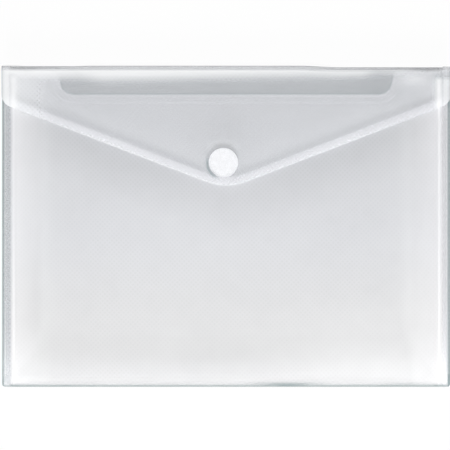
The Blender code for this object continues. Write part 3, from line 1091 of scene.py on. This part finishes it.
def swept_net(profile, ends, step):
    """A net swept along X, from the profile's (run, place, normal) rows and the two ends of each row."""
    low, high = ends[0]
    count = max(2, round((high - low) / step))
    flat, middle, normal = [], [], []
    for (run, place, across), (low, high) in zip(profile, ends):
        for share in np.linspace(0.0, 1.0, count + 1):
            u = low + (high - low) * share
            flat.append((u, run))
            middle.append((u, *place))
            normal.append((0.0, *across))
    faces = []
    for row in range(len(profile) - 1):
        for k in range(count):
            a = row * (count + 1) + k
            faces.append((a, a + 1, a + count + 2, a + count + 1))
    return np.array(flat), faces, np.array(middle), np.array(normal)


def make_spine():
    """The spine and its lower crease, up to the seam under the flap's fold."""
    radius = SPINE_RADIUS
    start = (0.0, FOLD_Y - radius, SPINE_AXIS_Z)
    arc = np.linspace(SEAT, radius * math.pi / 2, FOLD_STEPS)
    length = radius * math.pi / 2 + FLAP_SEAM_Z - SPINE_AXIS_Z - radius
    runs = np.concatenate([arc, np.linspace(arc[-1] + SPINE_START, length - SEAT, SPINE_ROWS)])
    place, normal = folded(runs, start, (0, 1, 0), (0.0, FOLD_Y, SPINE_AXIS_Z), (0, 0, 1), radius)
    profile = [(r, p[1:], n[1:]) for r, p, n in zip(runs, place, normal)]
    net = swept_net(profile, [(-EDGE_X, EDGE_X)] * len(profile), 4 * GRID)
    x, run = net[0].T
    white = SPINE_WHITE + SPINE_LEFT_WHITE * smooth(*SPINE_LEFT_ACROSS, -x)
    piece = solid_sheet("spine_sheet", *net, SHEET, white=white * smooth(0.0, 2 * radius, run))
    settle_fold(piece)
    dress(piece, SHEET_FINISH)
    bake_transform(piece)
    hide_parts("top_spine")


# Gussets


SIDE_TURN = {
    "right": (math.pi / 2, (SIDE_CREASE, 0.0)),
    "left": (-math.pi / 2, (-SIDE_CREASE, 0.0)),
    "bottom": (0.0, (0.0, BOTTOM_CREASE)),
}


def bezier(a, b, c, t):
    return tuple((1 - t) ** 2 * p + 2 * t * (1 - t) * q + t * t * r for p, q, r in zip(a, b, c))


def pleat_points(crease_z, panel_z, middle_z):
    """Points (across, height) of half a pleat: lip, crease, leaf and its curled tip."""
    sign = 1.0 if middle_z > crease_z else -1.0
    lean = math.asin((abs(middle_z - crease_z) - TIP_GAP) / LEAF_WIDTH)
    lip_z = panel_z + sign * (SHEET / 2 + SEAT)
    rows = np.linspace(CREASE_BEND, LEAF_WIDTH - TIP_CURL, LEAF_ROWS)
    leaf = [(s * math.cos(lean), crease_z + sign * s * math.sin(lean)) for s in (*rows, LEAF_WIDTH)]
    tip_across, tip_z = leaf.pop()
    lip = [(across, lip_z) for across in (-LIP_WIDTH, RIM - LIP_WIDTH, -LIP_FLAT, -CREASE_BEND)]
    crease = [bezier(lip[-1], (-CREASE_PULL, lip_z), leaf[0], t) for t in CREASE_SHARES]
    curl_end = (tip_across + TIP_REACH, middle_z - sign * SEAT)
    curl = [bezier(leaf[-1], (tip_across + TIP_REACH, tip_z), curl_end, t) for t in TIP_SHARES]
    return np.array(lip + crease + leaf + curl)


def pleat_profile(points):
    """Rows (run, place, normal) along half a pleat, with the run measured from the crease."""
    along = np.gradient(points, axis=0)
    along /= np.linalg.norm(along, axis=1)[:, None]
    normal = np.column_stack([-along[:, 1], along[:, 0]])
    lengths = np.concatenate([[0.0], np.cumsum(np.linalg.norm(np.diff(points, axis=0), axis=1))])
    return list(zip(lengths - LIP_WIDTH, points, normal))


def pleat_ends(side, run):
    """Where half a pleat starts and ends along its crease, at a distance across it."""
    if side == "bottom":
        half = SIDE_CREASE - MITRE_GAP - max(run, 0.0)
        return -half, half
    foot = BOTTOM_CREASE + MITRE_GAP + run if run > 0 else FRONT_LOW.y
    return (foot, SIDE_TOP) if side == "right" else (-SIDE_TOP, -foot)


def side_marks(along, run):
    """A side pleat is clear at its lip, white at its crease, and dark at its cut top by the crease."""
    on_leaf = run > 0
    cut = ridge(run, *SIDE_CUT) * fade(*SIDE_CUT_DOWN, SIDE_TOP - along)
    edge = SIDE_RIM * fade(0.0, RIM, run + LIP_WIDTH)
    glow = ridge(run, *SIDE_GLOW) * on_leaf
    faint = SIDE_FAINT + SIDE_FAINT_LEAF * smooth(0.0, LEAF_WIDTH, run)
    faint = faint + SIDE_FAINT_TIP * smooth(*SIDE_TIP, run)
    return {
        "white": ridge(run, *SIDE_WHITE) + glow,
        "rim": np.maximum(edge, cut),
        "clear": SIDE_CLEAR * smooth(0.0, MARGIN_FADE, -run - WELD_HALF),
        "faint": faint * on_leaf,
    }


def bottom_marks(run):
    """A bottom pleat is a little white at its welded lip, and clearer towards its inner fold."""
    past_crease = smooth(*BOTTOM_AT_CREASE, run)
    return {
        "white": BOTTOM_WHITE * (1 - past_crease),
        "rim": BOTTOM_EDGE * fade(0.0, RIM, run + LIP_WIDTH),
        "clear": BOTTOM_CLEAR * smooth(*BOTTOM_CLEAR_LEAF, run),
        "faint": BOTTOM_FAINT + BOTTOM_FAINT_LEAF * past_crease,
    }


def pleat_sheet(name, side, points):
    """Half a pleat along X, before it is turned to its side."""
    profile = pleat_profile(points)
    net = swept_net(profile, [pleat_ends(side, run) for run, _, _ in profile], 2 * GRID)
    along, run = net[0].T
    marks = bottom_marks(run) if side == "bottom" else side_marks(along if side == "right" else -along, run)
    return solid_sheet(name, *net, SHEET, **marks)


def make_gussets():
    rear_z = AXES["right_rear_crease"][2]
    front_z = AXES["right_front_crease"][2]
    middle_z = (rear_z + front_z) / 2
    halves = [("rear", rear_z, BACK_HIGH.z, "back"), ("front", front_z, FRONT_LOW.z, "front")]
    for side, (turn, crease) in SIDE_TURN.items():
        place = Matrix.Translation((*crease, 0.0)) @ Matrix.Rotation(turn, 4, "Z")
        for half, crease_z, panel_z, body in halves:
            piece = pleat_sheet(f"{side}_{half}_pleat", side, pleat_points(crease_z, panel_z, middle_z))
            if half == "front":
                piece.data.flip_normals()
            piece.data.transform(place)
            dress(piece, SHEET_FINISH)
            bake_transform(piece)
            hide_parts(f"{side}_gusset_{half}_lip", f"{side}_gusset_{half}_leaf")


# Fastener


def tube(shape, path):
    """A fibre along a path, closed at both ends."""
    turns = [math.tau * k / FIBRE_SIDES for k in range(FIBRE_SIDES)]
    section = [Vector((FIBRE * math.cos(a), FIBRE * math.sin(a), 0.0)) for a in turns]
    rings = []
    for index, point in enumerate(path):
        ahead = path[min(index + 1, len(path) - 1)] - path[max(index - 1, 0)]
        spin = ahead.to_track_quat("Z", "Y").to_matrix()
        rings.append([shape.verts.new(point + spin @ corner) for corner in section])
    for one, other in zip(rings, rings[1:]):
        for k in range(FIBRE_SIDES):
            after = (k + 1) % FIBRE_SIDES
            shape.faces.new((one[k], one[after], other[after], other[k]))
    shape.faces.new(rings[0][::-1])
    shape.faces.new(rings[-1])


def shape_object(name, shape):
    mesh = bpy.data.meshes.new(name)
    bmesh.ops.recalc_face_normals(shape, faces=shape.faces)
    shape.to_mesh(mesh)
    shape.free()
    return new_piece(name, mesh, SHAPE_SHARP)


def coin_base(name, low, high):
    """A tape disc with a rounded cut rim."""
    shape = bmesh.new()
    radius = (COIN_HIGH.x - COIN_LOW.x) / 2
    size = {"radius1": radius, "radius2": radius, "depth": high - low}
    bmesh.ops.create_cone(shape, cap_ends=True, segments=COIN_SEGMENTS, **size)
    rims = [edge for edge in shape.edges if edge.verts[0].co.z * edge.verts[1].co.z > 0]
    bmesh.ops.bevel(shape, geom=rims, offset=COIN_BEVEL, segments=2, affect="EDGES", profile=0.5)
    caps = [face for face in shape.faces if len(face.verts) > 4]
    bmesh.ops.inset_individual(shape, faces=caps, thickness=COIN_INSET)
    bmesh.ops.translate(shape, verts=shape.verts, vec=(COIN.x, COIN.y, (low + high) / 2))
    return shape_object(name, shape)


def field(pitch, radius):
    """Staggered rows of places inside a circle."""
    rows = int(radius / pitch) + 1
    for row in range(-rows, rows + 1):
        for column in range(-rows, rows + 1):
            x = (column + 0.5 * (row % 2)) * pitch
            y = row * pitch * ROW_SHARE
            if math.hypot(x, y) < radius:
                yield x, y


def loop_path(centre, heading, wide, height):
    """An upright half loop."""
    across = wide * Vector((math.cos(heading), math.sin(heading), 0.0))
    up = Vector((0.0, 0.0, height))
    turns = [math.pi * k / LOOP_STEPS for k in range(LOOP_STEPS + 1)]
    return [centre + math.cos(a) * across + math.sin(a) * up for a in turns]


def make_loop_coin():
    low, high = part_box("loop_coin")
    rng = np.random.default_rng(PILE_SEED)
    base = coin_base("loop_coin_tape", low.z - TAPE_SINK, low.z + LOOP_BASE)
    dress(base, TAPE_FINISH)
    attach(base, "front")
    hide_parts("loop_coin")
    shape = bmesh.new()
    radius = (high.x - low.x) / 2 - LOOP_BORDER
    tall = high.z - low.z - LOOP_BASE - FIBRE
    for x, y in field(PILE_PITCH, radius):
        heading = rng.uniform(0, math.tau)
        wide = rng.uniform(*LOOP_HALF_WIDTH)
        height = tall * rng.uniform(*LOOP_HEIGHT_SHARE)
        centre = Vector((COIN.x + x, COIN.y + y, low.z + LOOP_BASE - SEAT))
        tube(shape, loop_path(centre, heading, wide, height))
    pile = shape_object("loop_pile", shape)
    dress(pile, FIBRE_FINISH)
    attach(pile, "front")


def hook_path(root, tall, lean):
    """A hanging stem with a hook that turns to one side."""
    bend = HOOK_BEND_SHARE * tall
    drops = [Vector((0.0, 0.0, z)) for z in (SEAT, -HOOK_STEM_SHARE * tall, bend - tall)]
    turns = [math.pi * k / HOOK_STEPS for k in range(1, HOOK_STEPS + 1)]
    side = lean * bend * HOOK_LEAN
    hook = [Vector((side * (1 - math.cos(a)), 0.0, bend - tall - bend * math.sin(a))) for a in turns]
    return [root + point for point in drops + hook]


def make_hook_coin():
    low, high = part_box("hook_coin")
    base = coin_base("hook_coin_tape", high.z - HOOK_BASE, high.z + TAPE_SINK)
    dress(base, TAPE_FINISH)
    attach(base, "flap")
    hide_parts("hook_coin")
    shape = bmesh.new()
    radius = (high.x - low.x) / 2 - HOOK_BORDER
    tall = high.z - HOOK_BASE - low.z - FIBRE
    for index, (x, y) in enumerate(field(HOOK_PITCH, radius)):
        root = Vector((COIN.x + x, COIN.y + y, high.z - HOOK_BASE))
        tube(shape, hook_path(root, tall, 1 if index % 2 else -1))
    hooks = shape_object("hook_field", shape)
    dress(hooks, FIBRE_FINISH)
    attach(hooks, "flap")


def make_adhesive():
    for node in ("hook_adhesive_disc", "loop_adhesive_disc"):
        piece = nodes[node]
        piece.data.materials.clear()
        piece.data.materials.append(ADHESIVE_FINISH)


# Studio


def plain_sight(tree, past_film):
    """1 where the stage is seen directly, in a reflection or through glass, and past film if asked for."""
    path = tree.nodes.new("ShaderNodeLightPath")
    seen = path.outputs["Is Camera Ray"]
    if not past_film:
        direct = math_node(tree, "LESS_THAN", path.outputs["Transparent Depth"], 0.5)
        seen = math_node(tree, "MULTIPLY", seen, direct)
    seen = math_node(tree, "MAXIMUM", seen, path.outputs["Is Glossy Ray"])
    return math_node(tree, "MAXIMUM", seen, path.outputs["Is Transmission Ray"])


def make_floor():
    """A white table. Seen directly it is nearly all white, with a faint shadow left."""
    shape = bmesh.new()
    bmesh.ops.create_grid(shape, x_segments=1, y_segments=1, size=TABLE_HALF)
    bmesh.ops.translate(shape, verts=shape.verts, vec=(0.0, 0.0, -TABLE_DROP))
    floor = shape_object("table", shape)
    material, tree, shader = new_material("white_table")
    shader.inputs["Base Color"].default_value = TABLE
    shader.inputs["Roughness"].default_value = TABLE_ROUGH
    light = tree.nodes.new("ShaderNodeEmission")
    share = math_node(tree, "MULTIPLY", plain_sight(tree, past_film=False), TABLE_GLOW)
    mix = tree.nodes.new("ShaderNodeMixShader")
    tree.links.new(share, mix.inputs[0])
    tree.links.new(shader.outputs[0], mix.inputs[1])
    tree.links.new(light.outputs[0], mix.inputs[2])
    tree.links.new(mix.outputs[0], tree.nodes["Material Output"].inputs["Surface"])
    floor.data.materials.append(material)


def make_world():
    """Soft light from all round, white where it is seen."""
    world = bpy.data.worlds.new("studio")
    world.use_nodes = True
    tree = world.node_tree
    background = tree.nodes["Background"]
    strength = scale_add(tree, plain_sight(tree, past_film=True), 1.0 - AMBIENT, AMBIENT)
    tree.links.new(strength, background.inputs["Strength"])
    background.inputs["Color"].default_value = WHITE
    bpy.context.scene.world = world


def make_key():
    """A large lamp below the picture, aimed at the wallet."""
    light = bpy.data.lights.new("key", "AREA")
    light.size = KEY_SIZE
    light.energy = KEY_POWER
    lamp = bpy.data.objects.new("key", light)
    lamp.location = KEY_PLACE
    lamp.rotation_euler = (-Vector(KEY_PLACE)).to_track_quat("-Z", "Y").to_euler()
    bpy.context.scene.collection.objects.link(lamp)


def make_camera():
    data = bpy.data.cameras.new("camera")
    data.sensor_width = SENSOR
    data.lens = SENSOR * CAMERA_HEIGHT / (PICTURE * METRES_PER_PIXEL)
    camera = bpy.data.objects.new("camera", data)
    right = (PICTURE / 2 - MIDDLE[0]) * METRES_PER_PIXEL
    up = (MIDDLE[1] - PICTURE / 2) * METRES_PER_PIXEL
    camera.location = (right, up, FRONT_LOW.z + SHEET + CAMERA_HEIGHT)
    bpy.context.scene.collection.objects.link(camera)
    bpy.context.scene.camera = camera


def main():
    scene = bpy.context.scene
    scene.view_settings.view_transform = "Standard"
    scene.cycles.transparent_max_bounces = FILM_LAYERS
    make_camera()
    make_world()
    make_key()
    make_floor()
    make_back()
    make_spine()
    make_gussets()
    make_front()
    make_notch_band()
    make_flap()
    make_flap_band()
    make_loop_coin()
    make_hook_coin()
    make_adhesive()


main()
